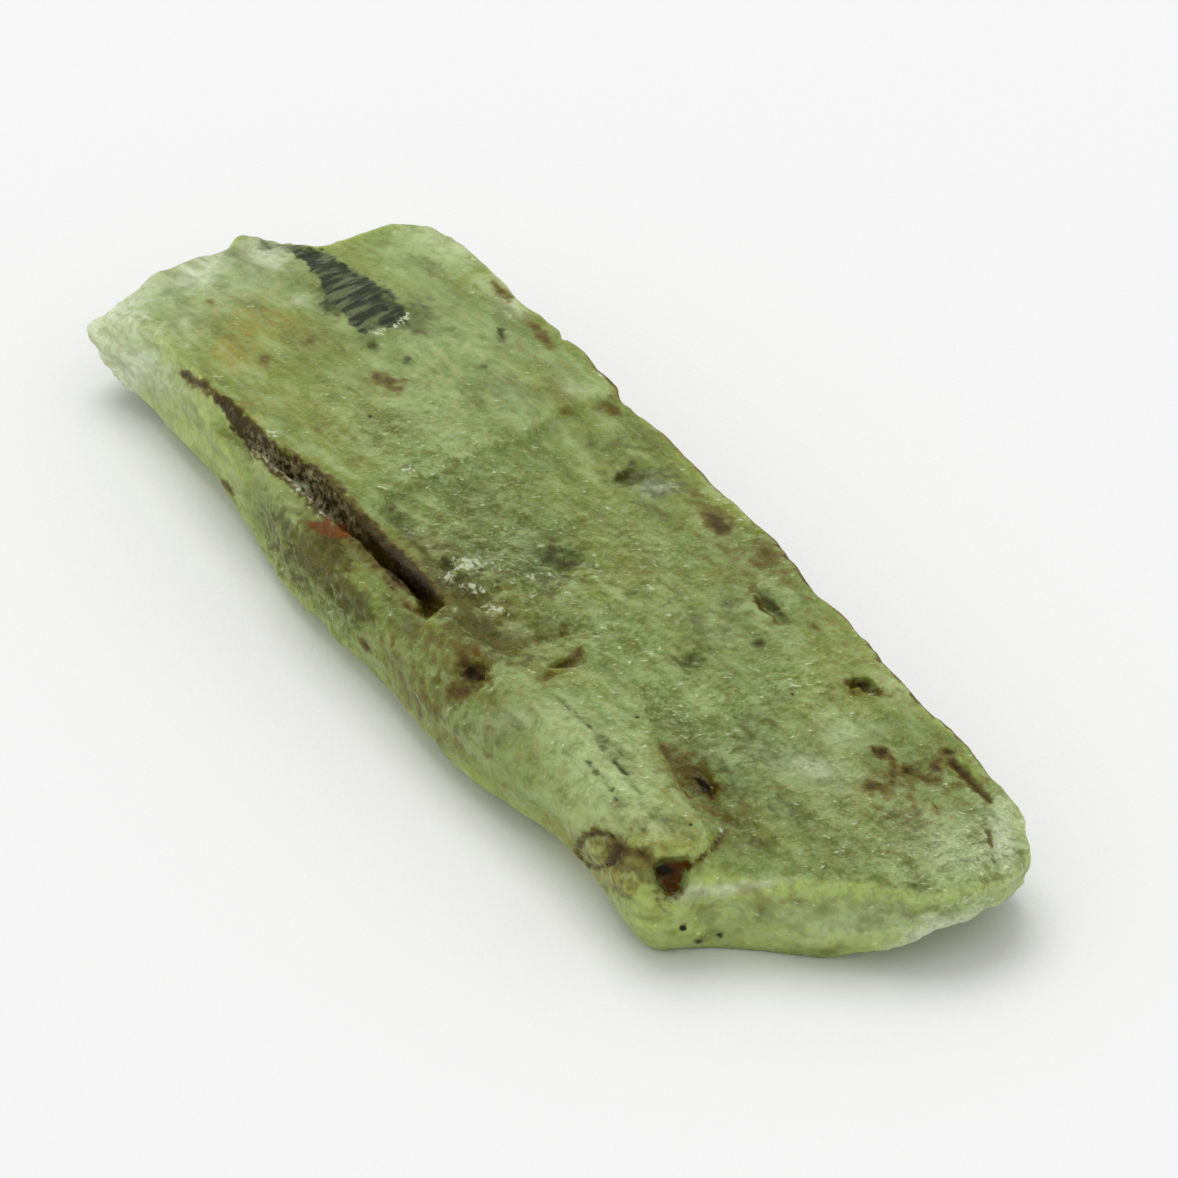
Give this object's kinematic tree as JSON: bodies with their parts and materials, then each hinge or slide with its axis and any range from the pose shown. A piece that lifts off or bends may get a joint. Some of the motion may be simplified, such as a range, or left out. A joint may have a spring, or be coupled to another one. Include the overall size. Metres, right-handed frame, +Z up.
{
  "type": "rough kyanite crystal",
  "caption": "Loose rough blade of green kyanite: a flat, elongated crystal with broken ends, a groove along one shoulder and a pitted face, to display on a surface.",
  "frame": {"origin": "under the middle of the crystal, on the surface it lies on", "axes": "+X along the blade towards its broken near end, +Y towards its straight edge, +Z up"},
  "size_m": [0.0264, 0.0084, 0.003],
  "materials": {
    "kyanite": "rough"
  },
  "bodies": {
    "root": {"kyanite_crystal": "kyanite"}
  },
  "joints": []
}
